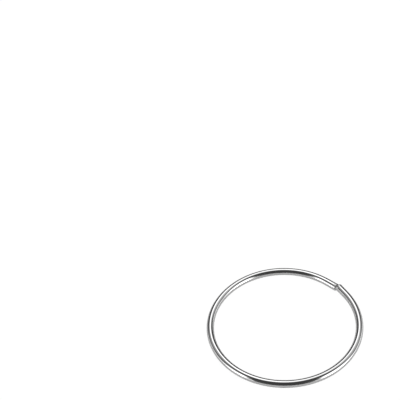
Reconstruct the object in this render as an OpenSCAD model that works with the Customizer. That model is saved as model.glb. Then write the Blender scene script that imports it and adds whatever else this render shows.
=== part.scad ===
// Welded ring of round wire: one length of wire bent to a circle, its two ends butt-welded.
// The ring lies flat, with its axis along +Z, its centre on that axis and its underside at Z = 0.

/* [Ring] */
// Clear diameter inside the true round of the ring
inner_d = 57; // [40:0.5:90]
// Diameter of the round wire
wire_d = 3; // [2:0.1:5]

/* [Welded joint] */
// Direction of the joint, turned from +X towards +Y
weld_angle = 41.7; // [0:0.1:359.9]
// Arc before the joint where the wire was left straight, so that this end stands outwards
proud_arc = 9; // [4:0.5:12]
// Arc after the joint over which the wire is bent tighter, so that this end lies inwards
tight_arc = 86; // [40:1:100]
// Amount by which the tighter bend's radius is smaller than the ring's
tight_by = 0.8; // [0.3:0.1:1.5]
// Arc next to the joint where the tighter bend was left straight
shy_arc = 8; // [2:0.5:10]
// Swelling of the wire ends, all round, from being pressed together hot
upset = 0.03; // [0.02:0.01:0.1]
// Length over which the swelling rises from the wire
upset_run = 0.9; // [0.5:0.1:2]
// Radius of the flat left in the middle of each rounded end
tip_flat = 0.8; // [0.15:0.05:0.9]
// Depth to which each end was pressed past the joint
press_in = 0.2; // [0.1:0.05:0.4]

/* [Hidden] */
$fn = 96;

wire_r = wire_d / 2;
end_r = wire_r + upset;
rim_round = end_r - tip_flat;
bend_r = inner_d / 2 + wire_r;
tight_r = bend_r - tight_by;

// Arcs of the two bends, measured from where the ring's own bend turns into the tighter one
round_bend = 360 - tight_arc - proud_arc;
tight_bend = tight_arc - shy_arc;

// Straight ends, from where each bend stops to just past the joint
proud_len = bend_r * tan(proud_arc) + press_in;
shy_len = tight_by * sin(tight_arc) / cos(shy_arc) + tight_r * tan(shy_arc) + press_in;

// Wire bent about the origin, from one direction round to another
module bent_wire(radius, from, to) {
    rotate_extrude(start = from, angle = to - from)
        translate([radius, 0])
            circle(r = wire_r);
}

// Half section of a straight wire end: it rises out of the bent wire, swells and has a rounded rim
module end_section(length) {
    shoulder = length - rim_round;
    polygon([[0, -upset_run], [wire_r - upset, -upset_run], [end_r, 0], [0, 0]]);
    square([end_r, shoulder]);
    translate([0, shoulder])
        square([tip_flat, rim_round]);
    translate([tip_flat, shoulder])
        intersection() {
            circle(r = rim_round);
            square(rim_round);
        }
}

// Straight wire end that leaves a bend of this radius on +X, towards +Y for a side of 1, -Y for -1
module straight_end(radius, length, side) {
    translate([radius, 0, 0])
        rotate([-90 * side, 0, 0])
            rotate_extrude()
                end_section(length);
}

// The ring's own bend and the end that stands outwards at the joint
module proud_side() {
    bent_wire(bend_r, 0, round_bend);
    rotate(round_bend)
        straight_end(bend_r, proud_len, 1);
}

// The tighter bend, which shares a tangent with the ring's own on +X, and the end that lies inwards
module shy_side() {
    translate([tight_by, 0, 0]) {
        bent_wire(tight_r, -tight_bend, 0);
        rotate(-tight_bend)
            straight_end(tight_r, shy_len, -1);
    }
}

// The whole ring, one piece of metal once its two ends are welded
module ring() {
    color("silver")
        translate([0, 0, end_r])
            rotate(weld_angle + tight_arc) {
                proud_side();
                shy_side();
            }
}

ring();
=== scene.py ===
from math import cos, pi, radians, sin, tan

import bpy
import numpy as np
from mathutils import Euler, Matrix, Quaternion, Vector


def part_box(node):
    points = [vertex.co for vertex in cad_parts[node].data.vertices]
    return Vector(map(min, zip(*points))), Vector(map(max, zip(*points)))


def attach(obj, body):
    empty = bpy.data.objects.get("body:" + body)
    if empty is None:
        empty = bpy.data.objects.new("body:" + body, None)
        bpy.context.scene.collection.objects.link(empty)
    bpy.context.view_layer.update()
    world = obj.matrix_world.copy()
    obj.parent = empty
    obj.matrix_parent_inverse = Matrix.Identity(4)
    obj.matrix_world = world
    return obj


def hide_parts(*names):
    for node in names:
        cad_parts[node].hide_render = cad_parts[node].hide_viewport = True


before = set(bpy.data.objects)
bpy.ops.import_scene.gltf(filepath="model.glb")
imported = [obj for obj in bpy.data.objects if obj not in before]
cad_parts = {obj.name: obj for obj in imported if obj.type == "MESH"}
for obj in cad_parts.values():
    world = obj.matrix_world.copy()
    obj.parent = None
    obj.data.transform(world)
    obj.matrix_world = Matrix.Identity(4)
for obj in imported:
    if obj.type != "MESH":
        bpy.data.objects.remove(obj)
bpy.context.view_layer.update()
print("frame loaded:", sorted(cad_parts))

mm = 0.001
ringLow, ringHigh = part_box("ring")
midHeight = (ringLow.z + ringHigh.z) / 2  # height of the wire's mid-line
ringMiddle = Vector((0, 0, midHeight))

# The ring, in millimetres and degrees, as the part has it
ringSizes = {
    "weldAngle": 41.7,    # direction of the joint, from +X towards +Y
    "proudArc": 9,        # arc before the joint where the wire was left straight
    "tightArc": 86,       # arc after the joint that is bent tighter
    "tightBy": 0.8,       # how much smaller the tighter radius is
    "shyArc": 8,          # arc next to the joint where the tighter bend was left straight
    "upset": 0.03,        # swelling of the pressed ends
    "upsetRun": 0.9,      # length over which it rises
    "tipFlat": 0.8,       # radius of the flat left in the middle of each rounded end
    "pressIn": 0.2,       # depth to which each end goes past the joint
    "fillet": 0.3,        # metal that ran into the corner of the joint
    "creaseShadeWide": 0.25,   # width of the painted shade in the corner of the joint, on the outer side
    "creaseShadeEnd": 0.6,     # where the painted shade starts to fade, inwards of the mid-line
    "creaseShadeFade": 0.5,    # length over which it fades
    "hazeReach": 1.8,     # how far the dulled plate reaches from the joint
    "endReach": 25,       # arc past the joint up to which an end is worked out
    "handOver": 0.7,      # length over which the sections move from one end to the other
    "fineStep": 0.05,     # spacing of the sections at the joint
    "coarseStep": 0.6,    # spacing elsewhere
    "fineReach": 3.0,     # how far the fine spacing reaches
    "countSteps": 20000,  # steps in which the spacing is added up
    "around": 72,         # points round the wire
    "halvings": 40,       # halvings of the search for the skin
    "mapStrips": 4,       # strips in which the surface is laid out flat
    "mapEdge": 0.03,      # share of a strip left free at its edges
}
ringSizes["wireR"] = (ringHigh.z - ringLow.z) / 2 / mm - ringSizes["upset"]
ringSizes["rimRound"] = ringSizes["wireR"] + ringSizes["upset"] - ringSizes["tipFlat"]
ringSizes["bendR"] = -ringLow.x / mm - ringSizes["wireR"]
ringSizes["tightR"] = ringSizes["bendR"] - ringSizes["tightBy"]


# Smooth rise from 0 to 1: three times t squared less twice t cubed
def smooth(t):
    t = np.clip(t, 0, 1)
    return t * t * (3 - 2 * t)


# One wire end: a rod, swollen over upsetRun, cut off at length, with a round rim.
# The value is the distance to its skin, negative inside; along runs towards the tip.
def wireEnd(v, along, off, length):
    radius = v["wireR"] + v["upset"] * smooth(along / v["upsetRun"] + 1)
    side = off - radius + v["rimRound"]
    tip = along - length + v["rimRound"]
    inside = np.minimum(np.maximum(side, tip), 0)
    return inside + np.hypot(np.maximum(side, 0), np.maximum(tip, 0)) - v["rimRound"]


# The end that stands outwards: the ring's own bend, then a straight tail along its tangent
def proudWire(v, x, y, z):
    turn = radians(v["proudArc"])
    polar = np.arctan2(y, x)
    onTail = polar > -turn
    along = np.where(onTail, x * sin(turn) + y * cos(turn), v["bendR"] * (polar + turn))
    off = np.where(onTail, x * cos(turn) - y * sin(turn), np.hypot(x, y)) - v["bendR"]
    return wireEnd(v, along, np.hypot(off, z), v["bendR"] * tan(turn) + v["pressIn"])


# The end that lies inwards: the ring's bend, a tighter bend about a shifted centre, a straight tail
def shyWire(v, x, y, z):
    turn, arc = radians(v["shyArc"]), radians(v["tightArc"])
    shiftX, shiftY = v["tightBy"] * cos(arc), v["tightBy"] * sin(arc)
    polar = np.arctan2(y, x)
    nearX, nearY = x - shiftX, y - shiftY
    nearPolar = np.arctan2(nearY, nearX)
    onTail = nearPolar < turn
    along = np.where(onTail, nearX * sin(turn) - nearY * cos(turn), v["tightR"] * (turn - nearPolar))
    off = np.where(onTail, nearX * cos(turn) + nearY * sin(turn), np.hypot(nearX, nearY)) - v["tightR"]
    off = np.where(polar > arc, np.hypot(x, y) - v["bendR"], off)
    length = shiftY / cos(turn) + v["tightR"] * tan(turn) + v["pressIn"]
    return wireEnd(v, along, np.hypot(off, z), length)


# Both ends together: the nearer skin, lowered by a parabola where the two are within a fillet
# of each other
def weldedSkin(v, x, y, z):
    polar = np.arctan2(y, x)
    reach, away = radians(v["endReach"]), v["bendR"]
    proud = np.where(polar < reach, proudWire(v, x, y, z), away)
    shy = np.where(polar > -reach, shyWire(v, x, y, z), away)
    close = np.maximum(v["fillet"] - np.abs(proud - shy), 0)
    return np.minimum(proud, shy) - close ** 2 / (4 * v["fillet"]), proud, shy


# Distance of the mid-line from the axis: each end's own line, handed over across the joint
def midLine(v, polar):
    turn, shyTurn, arc = radians(v["proudArc"]), radians(v["shyArc"]), radians(v["tightArc"])
    proud = v["bendR"] / np.cos(np.clip(polar + turn, 0, 2 * turn))
    tightX = v["tightBy"] * np.cos(polar - arc)
    tightBend = tightX + np.sqrt(v["tightR"] ** 2 - (v["tightBy"] * np.sin(polar - arc)) ** 2)
    tail = v["tightR"] + v["tightBy"] * cos(arc - shyTurn)
    tail = tail / np.cos(np.clip(polar - shyTurn, -turn, turn))
    tailStart = np.arctan2(v["tightBy"] * sin(arc) + v["tightR"] * sin(shyTurn),
                           v["tightBy"] * cos(arc) + v["tightR"] * cos(shyTurn))
    shy = np.where(polar > arc, v["bendR"], np.where(polar > tailStart, tightBend, tail))
    share = smooth(v["bendR"] * polar / v["handOver"] + 0.5)
    return proud * (1 - share) + shy * share


# Places of the sections: the spacing is fine up to fineReach from the joint and grows smoothly
# to coarse at three times that; the whole length takes a whole number of steps
def sectionPlaces(v):
    half = pi * v["bendR"]
    fromJoint = np.linspace(-half, half, v["countSteps"] + 1)
    growth = smooth((np.abs(fromJoint) / v["fineReach"] - 1) / 2)
    step = v["fineStep"] + (v["coarseStep"] - v["fineStep"]) * growth
    count = np.concatenate([[0], np.cumsum(np.diff(fromJoint) / step[1:])])
    number = int(count[-1])
    return np.interp(np.arange(number) * count[-1] / number, count, fromJoint)


# Sweep of the wire: a point is the mid-line at this polar angle plus the reach at an angle round
# the wire, where the reach is halved down, all points at once, to the welded skin.
# The painted shade of the crease is a bell curve of the distance to the farther end, faded out inwards.
def sweptWire(v):
    place = sectionPlaces(v)
    polar = (place / v["bendR"])[:, None]
    spin = (np.arange(v["around"]) / v["around"] * 2 * pi - pi / 2)[None, :]
    middle = midLine(v, polar)

    def pointAt(reach):
        radial = middle + reach * np.cos(spin)
        return radial * np.cos(polar), radial * np.sin(polar), reach * np.sin(spin)

    low = np.zeros((len(place), v["around"]))
    high = np.full_like(low, 2 * v["wireR"])  # a whole width of the wire is past any skin
    for halving in range(v["halvings"]):
        reach = (low + high) / 2
        inside = weldedSkin(v, *pointAt(reach))[0] < 0
        low, high = np.where(inside, reach, low), np.where(inside, high, reach)
    x, y, z = pointAt(reach)
    proud, shy = weldedSkin(v, x, y, z)[1:]
    turn = radians(v["weldAngle"])
    turnedX, turnedY = x * cos(turn) - y * sin(turn), x * sin(turn) + y * cos(turn)
    points = np.stack([turnedX, turnedY, z + midHeight / mm], -1)
    corner = np.maximum(np.abs(proud), np.abs(shy)) / v["creaseShadeWide"]
    inwards = v["bendR"] - np.hypot(x, y)
    # Painted shade: a dark mask in the corner of the joint, fading out inwards
    creaseShade = np.exp(-corner ** 2) * (1 - smooth((inwards - v["creaseShadeEnd"]) / v["creaseShadeFade"]))
    return points * mm, creaseShade, place, polar, spin


# A grid closed both ways as a mesh of quads, facing outwards
def closedGrid(name, points):
    rows, columns = points.shape[:2]
    corner = np.arange(rows * columns).reshape(rows, columns)
    ahead = np.roll(corner, -1, 0)
    quads = np.stack([corner, ahead, np.roll(ahead, -1, 1), np.roll(corner, -1, 1)], -1).reshape(-1, 4)
    mesh = bpy.data.meshes.new(name)
    mesh.vertices.add(rows * columns)
    mesh.vertices.foreach_set("co", points.reshape(-1).astype(np.float32))
    mesh.loops.add(quads.size)
    mesh.loops.foreach_set("vertex_index", quads.reshape(-1).astype(np.int32))
    mesh.polygons.add(len(quads))
    mesh.polygons.foreach_set("loop_start", np.arange(0, quads.size, 4, dtype=np.int32))
    mesh.update(calc_edges=True)
    mesh.shade_smooth()
    return mesh


# The skin laid out flat: strips along the wire, one above the other, cut along the underside
def layFlat(mesh, place, v):
    columns, edge = v["around"], v["mapEdge"]
    share = np.append((place - place[0]) / (2 * pi * v["bendR"]), 1.0) * v["mapStrips"]
    strip = np.floor(share[:-1])
    start, end = share[:-1] - strip, share[1:] - strip
    across = np.arange(columns + 1) / columns
    u = np.stack([start, end, end, start], -1)[:, None, :] * (1 - 2 * edge) + edge
    side = np.stack([across[:-1], across[:-1], across[1:], across[1:]], -1)[None] * (1 - 2 * edge) + edge
    flat = np.stack([u + 0 * side, (side + strip[:, None, None]) / v["mapStrips"] + 0 * u], -1)
    layer = mesh.uv_layers.new(name="OFBake")
    layer.uv.foreach_set("vector", flat.reshape(-1).astype(np.float32))


# Numbers kept at each point of a mesh, for its material
def pointValues(mesh, name, values):
    kind, slot = ("FLOAT_VECTOR", "vector") if values.ndim == 3 else ("FLOAT", "value")
    layer = mesh.attributes.new(name, kind, "POINT")
    layer.data.foreach_set(slot, values.reshape(-1).astype(np.float32))


# Each point keeps its place on two circles, one round the wire and one along the ring, so that
# the lines of the finish close both ways; nearness to the joint is a bell curve along the wire
def makeRing(v):
    points, creaseShade, place, polar, spin = sweptWire(v)
    mesh = closedGrid("weldedRing", points)
    layFlat(mesh, place, v)
    every = np.ones_like(creaseShade)
    circles = [v["wireR"] * np.cos(spin) * every, v["wireR"] * np.sin(spin) * every]
    circles.append(v["bendR"] * np.cos(polar) * every)
    pointValues(mesh, "wireCoord", np.stack(circles, -1))
    pointValues(mesh, "ringCoord", v["bendR"] * np.sin(polar) * every)
    # The painted shade in the corner of the joint, kept for the plate's colour
    pointValues(mesh, "weldCreaseShade", creaseShade)
    pointValues(mesh, "weldNear", np.exp(-(place[:, None] / v["hazeReach"]) ** 2) * every)
    ring = bpy.data.objects.new("welded_ring", mesh)
    bpy.context.scene.collection.objects.link(ring)
    print("ring swept:", len(mesh.vertices), "points,", len(mesh.polygons), "faces")
    return ring


def grey(level):
    return (level, level, level, 1)


# A node with its socket values and its settings
def addNode(tree, kind, values=None, **settings):
    node = tree.nodes.new(kind)
    for name, value in settings.items():
        setattr(node, name, value)
    for name, value in (values or {}).items():
        node.inputs[name].default_value = value
    return node


# A smooth or straight change of one value from one range to another
def mapRange(tree, source, old, new=(0, 1), kind="LINEAR"):
    values = {"From Min": old[0], "From Max": old[1], "To Min": new[0], "To Max": new[1]}
    node = addNode(tree, "ShaderNodeMapRange", values, interpolation_type=kind)
    tree.links.new(source, node.inputs["Value"])
    return node.outputs["Result"]


# Two greys mixed by a mask
def mixGreys(tree, mask, first, second):
    node = addNode(tree, "ShaderNodeMix", data_type="RGBA")
    node.inputs["A"].default_value = grey(first)
    node.inputs["B"].default_value = grey(second)
    tree.links.new(mask, node.inputs["Factor"])
    return node


def newMaterial(name):
    material = bpy.data.materials.new(name)
    material.use_nodes = True
    material.node_tree.nodes.clear()
    return material, material.node_tree


# The plate: values of the finish
plateLooks = {
    "light": 0.71,              # grey of clean plate
    "dull": 0.68,               # grey of the cloudier patches
    "creaseShade": 0.03,             # grey of the painted shade in the corner of the joint
    "gloss": 0.075,             # roughness of clean plate
    "haze": 0.1,                # roughness of the cloudier patches
    "weldHaze": 0.4,            # roughness beside the joint
    "cloud": 0.35,              # cloudy patches per millimetre
    "cloudNoise": (4.0, 0.55),  # their detail and roughness
    "cloudFrom": (0.42, 0.72),  # noise at which a patch begins and is full
    "lines": 9.0,               # drawn lines per millimetre round the wire
    "lineStretch": 0.02,        # the same along the wire, as a share
    "lineNoise": (3.0, 0.6),    # their detail and roughness
    "lineFrom": (0.35, 0.7),    # noise at which a line begins and is full
    "lineHaze": (-0.01, 0.02),  # roughness that the lines take away and add
    "lineDepth": 0.02 * mm,     # depth of the lines
    "lineBump": 0.12,           # strength of their bump
    "pits": 1.8,                # pits per millimetre
    "pitSize": (0.02, 0.1),     # where a pit is deepest and where it ends, in spacings of the pits
    "pitDepth": 0.03 * mm,      # depth of the pits
    "pitBump": 0.1,             # strength of their bump
}


def platedWire(looks):
    material, tree = newMaterial("platedWire")
    link = tree.links.new
    coord = addNode(tree, "ShaderNodeTexCoord").outputs["Object"]
    wire = addNode(tree, "ShaderNodeAttribute", attribute_name="wireCoord").outputs["Vector"]
    ringTurn = addNode(tree, "ShaderNodeAttribute", attribute_name="ringCoord").outputs["Fac"]
    creaseShade = addNode(tree, "ShaderNodeAttribute", attribute_name="weldCreaseShade").outputs["Fac"]
    near = addNode(tree, "ShaderNodeAttribute", attribute_name="weldNear").outputs["Fac"]

    # Drawn lines: noise that is fine round the wire and long along it
    across, along = looks["lines"], looks["lines"] * looks["lineStretch"]
    stretch = addNode(tree, "ShaderNodeMapping", {"Scale": (across, across, along)})
    slow = addNode(tree, "ShaderNodeMath", {1: along}, operation="MULTIPLY")
    detail, rough = looks["lineNoise"]
    grain = {"Scale": 1.0, "Detail": detail, "Roughness": rough}
    lines = addNode(tree, "ShaderNodeTexNoise", grain, noise_dimensions="4D")
    link(wire, stretch.inputs["Vector"])
    link(stretch.outputs["Vector"], lines.inputs["Vector"])
    link(ringTurn, slow.inputs[0])
    link(slow.outputs["Value"], lines.inputs["W"])

    # Cloudy patches of the plate
    detail, rough = looks["cloudNoise"]
    mist = {"Scale": looks["cloud"] / mm, "Detail": detail, "Roughness": rough}
    cloud = addNode(tree, "ShaderNodeTexNoise", mist)
    link(coord, cloud.inputs["Vector"])
    patches = mapRange(tree, cloud.outputs["Fac"], looks["cloudFrom"], kind="SMOOTHSTEP")

    # Small pits, sparse
    pits = addNode(tree, "ShaderNodeTexVoronoi", {"Scale": looks["pits"] / mm})
    link(coord, pits.inputs["Vector"])
    holes = mapRange(tree, pits.outputs["Distance"], looks["pitSize"], kind="SMOOTHSTEP")

    # Colour: clean plate, cloudier patches, painted shade in the corner of the joint
    plate = mixGreys(tree, patches, looks["light"], looks["dull"])
    # Painted shade: the corner of the joint darkened in the base colour
    corner = mixGreys(tree, creaseShade, looks["light"], looks["creaseShade"])
    link(plate.outputs["Result"], corner.inputs["A"])

    # Roughness: patches, then lines, then the dulled metal beside the joint
    clear = mapRange(tree, patches, (0, 1), (looks["gloss"], looks["haze"]))
    scratch = mapRange(tree, lines.outputs["Fac"], looks["lineFrom"], looks["lineHaze"])
    total = addNode(tree, "ShaderNodeMath", operation="ADD")
    link(clear, total.inputs[0])
    link(scratch, total.inputs[1])
    weld = addNode(tree, "ShaderNodeMix", {"B": looks["weldHaze"]}, data_type="FLOAT")
    link(near, weld.inputs["Factor"])
    link(total.outputs["Value"], weld.inputs["A"])

    # Relief: lines, then pits
    height = {"Strength": looks["lineBump"], "Distance": looks["lineDepth"]}
    relief = addNode(tree, "ShaderNodeBump", height)
    link(lines.outputs["Fac"], relief.inputs["Height"])
    height = {"Strength": looks["pitBump"], "Distance": looks["pitDepth"]}
    pitted = addNode(tree, "ShaderNodeBump", height)
    link(holes, pitted.inputs["Height"])
    link(relief.outputs["Normal"], pitted.inputs["Normal"])

    skin = addNode(tree, "ShaderNodeBsdfPrincipled", {"Metallic": 1.0})
    link(corner.outputs["Result"], skin.inputs["Base Color"])
    link(weld.outputs["Result"], skin.inputs["Roughness"])
    link(pitted.outputs["Normal"], skin.inputs["Normal"])
    out = addNode(tree, "ShaderNodeOutputMaterial")
    link(skin.outputs["BSDF"], out.inputs["Surface"])
    print("plate mixed")
    return material


# The floor: a plain pale sheet, lit from below for the camera so that it stays pale beside the ring
floorLooks = {
    "half": 2.0,       # half of its side, in metres
    "seen": 0.2,       # its grey to the camera
    "mirrored": 0.88,  # its grey in reflections and bounced light
    "glow": 0.94,      # light from below, to the camera
    "dimGlow": 0.18,   # the same in reflections and bounced light
}


def makeFloor(looks):
    side = np.array([-1, 1]) * looks["half"]
    x, y = np.meshgrid(side, side)
    corners = np.stack([x, y, 0 * x], -1).reshape(-1, 3)
    mesh = bpy.data.meshes.new("paleFloor")
    mesh.from_pydata(corners.tolist(), [], [(0, 1, 3, 2)])
    material, tree = newMaterial("paleFloor")
    toCamera = addNode(tree, "ShaderNodeLightPath").outputs["Is Camera Ray"]
    shade = mixGreys(tree, toCamera, looks["mirrored"], looks["seen"])
    matt = addNode(tree, "ShaderNodeBsdfDiffuse")
    below = addNode(tree, "ShaderNodeEmission")
    both = addNode(tree, "ShaderNodeAddShader")
    out = addNode(tree, "ShaderNodeOutputMaterial")
    glow = mapRange(tree, toCamera, (0, 1), (looks["dimGlow"], looks["glow"]))
    tree.links.new(shade.outputs["Result"], matt.inputs["Color"])
    tree.links.new(glow, below.inputs["Strength"])
    tree.links.new(matt.outputs["BSDF"], both.inputs[0])
    tree.links.new(below.outputs["Emission"], both.inputs[1])
    tree.links.new(both.outputs["Shader"], out.inputs["Surface"])
    mesh.materials.append(material)
    floor = bpy.data.objects.new("pale_floor", mesh)
    bpy.context.scene.collection.objects.link(floor)
    print("floor laid")


# Soft boxes: direction as azimuth (0 behind the ring, 90 to its right) and elevation in degrees,
# sizes and rise as shares of the distance, fade as the shares that fade out at left, right, bottom
# and top, as seen from behind the box
softBoxes = {
    "topBox": {"azimuth": 8.25, "elevation": 66, "wide": 0.818, "high": 1.06, "rise": 0,
               "radiance": 1.58, "fade": (0.86, 0.17, 0.1, 0.68)},
    "wideBackBox": {"azimuth": 1, "elevation": 59.7, "wide": 4.67, "high": 0.94, "rise": 0,
                    "radiance": 0.714, "fade": (0.56, 0.7, 0.43, 0.15)},
    "leftBox": {"azimuth": -111.5, "elevation": 0, "wide": 0.913, "high": 1.18, "rise": 0.59,
                "radiance": 3.73, "fade": (0.95, 0.31, 0.01, 1)},
    "leftStrip": {"azimuth": -87.5, "elevation": 0, "wide": 2.937, "high": 0.286, "rise": 0.143,
                  "radiance": 2.34, "fade": (0.95, 0.08, 0.01, 0.74)},
    "leftFill": {"azimuth": -93, "elevation": 25, "wide": 3, "high": 1.05, "rise": 0,
                 "radiance": 0.03, "fade": (0.2, 0.2, 0.1, 0.2)},
    "rightBox": {"azimuth": 111.25, "elevation": 0, "wide": 1.176, "high": 1.226, "rise": 0.613,
                 "radiance": 5.51, "fade": (0.339, 0.925, 0.01, 1)},
    "rightStrip": {"azimuth": 92, "elevation": 0, "wide": 3.16, "high": 0.348, "rise": 0.174,
                   "radiance": 1.505, "fade": (0.12, 0.36, 0.01, 0.66)},
    "rightFill": {"azimuth": 101, "elevation": 25, "wide": 3, "high": 0.75, "rise": 0,
                  "radiance": 0.06, "fade": (0.2, 0.2, 0.1, 0.2)},
}
lightDistance = 0.9  # metres, from the ring's middle


# Fades a light towards its edges: the product of a smooth rise from each of its four sides
def featherLight(lamp, fade):
    lamp.use_nodes = True
    tree = lamp.node_tree
    tree.nodes.clear()
    place = addNode(tree, "ShaderNodeNewGeometry")
    parts = addNode(tree, "ShaderNodeSeparateXYZ")
    tree.links.new(place.outputs["Parametric"], parts.inputs["Vector"])
    glow = addNode(tree, "ShaderNodeEmission")
    whole = glow.inputs["Strength"]
    sides = (("X", 0, fade[0]), ("X", 1, 1 - fade[1]), ("Y", 0, fade[2]), ("Y", 1, 1 - fade[3]))
    for axis, edge, full in sides:
        rise = mapRange(tree, parts.outputs[axis], (edge, full), kind="SMOOTHSTEP")
        times = addNode(tree, "ShaderNodeMath", operation="MULTIPLY")
        tree.links.new(rise, times.inputs[0])
        tree.links.new(times.outputs["Value"], whole)
        whole = times.inputs[1]
    whole.default_value = 1.0
    out = addNode(tree, "ShaderNodeOutputLight")
    tree.links.new(glow.outputs["Emission"], out.inputs["Surface"])


def makeSoftBox(name, box):
    azimuth, elevation = radians(box["azimuth"]), radians(box["elevation"])
    towards = Vector((sin(azimuth) * cos(elevation), cos(azimuth) * cos(elevation), sin(elevation)))
    lamp = bpy.data.lights.new(name, "AREA")
    lamp.shape = "RECTANGLE"
    lamp.size = box["wide"] * lightDistance
    lamp.size_y = box["high"] * lightDistance
    lamp.energy = box["radiance"] * pi * lamp.size * lamp.size_y
    featherLight(lamp, box["fade"])
    light = bpy.data.objects.new(name, lamp)
    light.location = ringMiddle + towards * lightDistance + Vector((0, 0, box["rise"] * lightDistance))
    light.rotation_euler = (-towards).to_track_quat("-Z", "Y").to_euler()
    light.visible_camera = False
    bpy.context.scene.collection.objects.link(light)


# The room round the floor
roomLooks = {
    "dim": 0.06,   # its grey in reflections and bounced light
    "pale": 0.93,  # its grey to the camera, past the floor's edge
}


def makeRoom(looks):
    world = bpy.data.worlds.new("studio")
    bpy.context.scene.world = world
    world.use_nodes = True
    tree = world.node_tree
    tree.nodes.clear()
    toCamera = addNode(tree, "ShaderNodeLightPath").outputs["Is Camera Ray"]
    shade = mixGreys(tree, toCamera, looks["dim"], looks["pale"])
    air = addNode(tree, "ShaderNodeBackground")
    out = addNode(tree, "ShaderNodeOutputWorld")
    tree.links.new(shade.outputs["Result"], air.inputs["Color"])
    tree.links.new(air.outputs["Background"], out.inputs["Surface"])
    bpy.context.scene.view_settings.view_transform = "Standard"
    print("room set")


# The camera: it looks down on the ring, which lies off the middle of the 400 x 400 picture
cameraView = {
    "lens": 100,                 # millimetres
    "sensor": 36,                # millimetres, a square frame
    "frame": 400,                # pixels
    "clipStart": 0.01,           # metres
    "distance": 0.45234,         # from the ring's middle, in metres
    "elevation": 48.78,          # degrees above the floor
    "azimuth": 0.0,              # degrees, turned round the ring
    "roll": -1.51,               # degrees, of the picture
    "ringAt": (284.55, 324.79),  # pixel of the ring's middle, from the top left
}


def makeCamera(view):
    lens = bpy.data.cameras.new("photoCamera")
    lens.lens = view["lens"]
    lens.sensor_width = view["sensor"]
    lens.clip_start = view["clipStart"]
    camera = bpy.data.objects.new("photo_camera", lens)
    aim = Euler((radians(90 - view["elevation"]), 0, radians(view["azimuth"]))).to_quaternion()
    pixels = view["lens"] / view["sensor"] * view["frame"]  # focal length in pixels
    half = view["frame"] / 2
    sight = Vector(((view["ringAt"][0] - half) / pixels, (half - view["ringAt"][1]) / pixels, -1))
    swing = Vector((0, 0, -1)).rotation_difference(sight)
    turn = aim @ Quaternion((0, 0, 1), radians(view["roll"])) @ swing.inverted()
    camera.location = ringMiddle + aim @ Vector((0, 0, view["distance"]))
    camera.rotation_euler = turn.to_euler()
    bpy.context.scene.collection.objects.link(camera)
    bpy.context.scene.camera = camera
    print("camera set")


makeCamera(cameraView)
makeRoom(roomLooks)
for boxName, box in softBoxes.items():
    makeSoftBox(boxName, box)
print("lights hung:", len(softBoxes))
makeFloor(floorLooks)

ring = makeRing(ringSizes)
ring.data.materials.append(platedWire(plateLooks))
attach(ring, "root")
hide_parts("ring")
print("ring finished")
